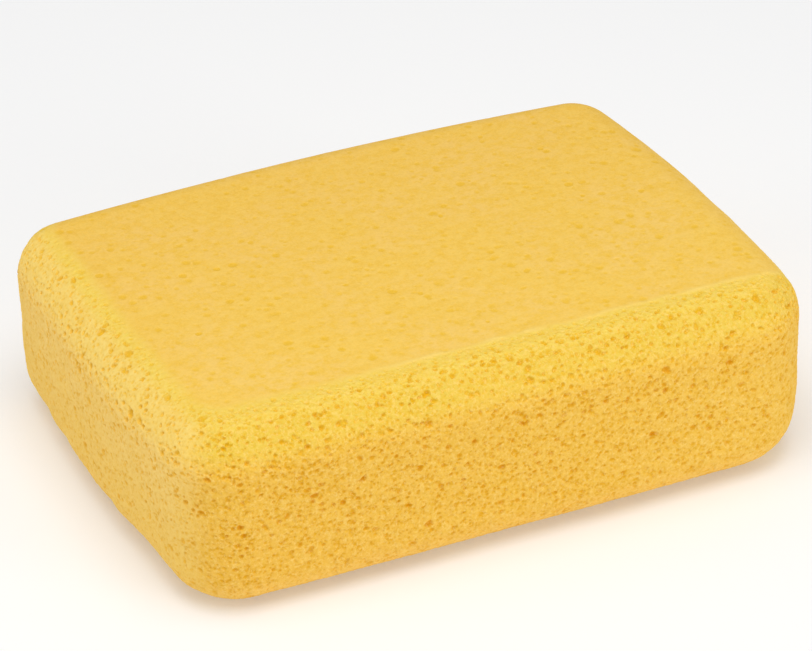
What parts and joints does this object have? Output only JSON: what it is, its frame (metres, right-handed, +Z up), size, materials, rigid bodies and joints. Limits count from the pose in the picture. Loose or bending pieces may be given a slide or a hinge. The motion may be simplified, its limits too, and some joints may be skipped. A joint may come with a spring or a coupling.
{
  "type": "foam sponge",
  "caption": "Rectangular block of yellow open-cell foam with rounded corners and edges, held in the hand to wet, wipe and wash a surface.",
  "frame": {"origin": "centre of the underside, on the surface that the sponge rests on", "axes": "+X along the length, +Y across the width, +Z up through the thickness"},
  "size_m": [0.19, 0.144, 0.054],
  "materials": {
    "yellow_foam": "matte"
  },
  "bodies": {
    "root": {"foam_block": "yellow_foam"}
  },
  "joints": []
}
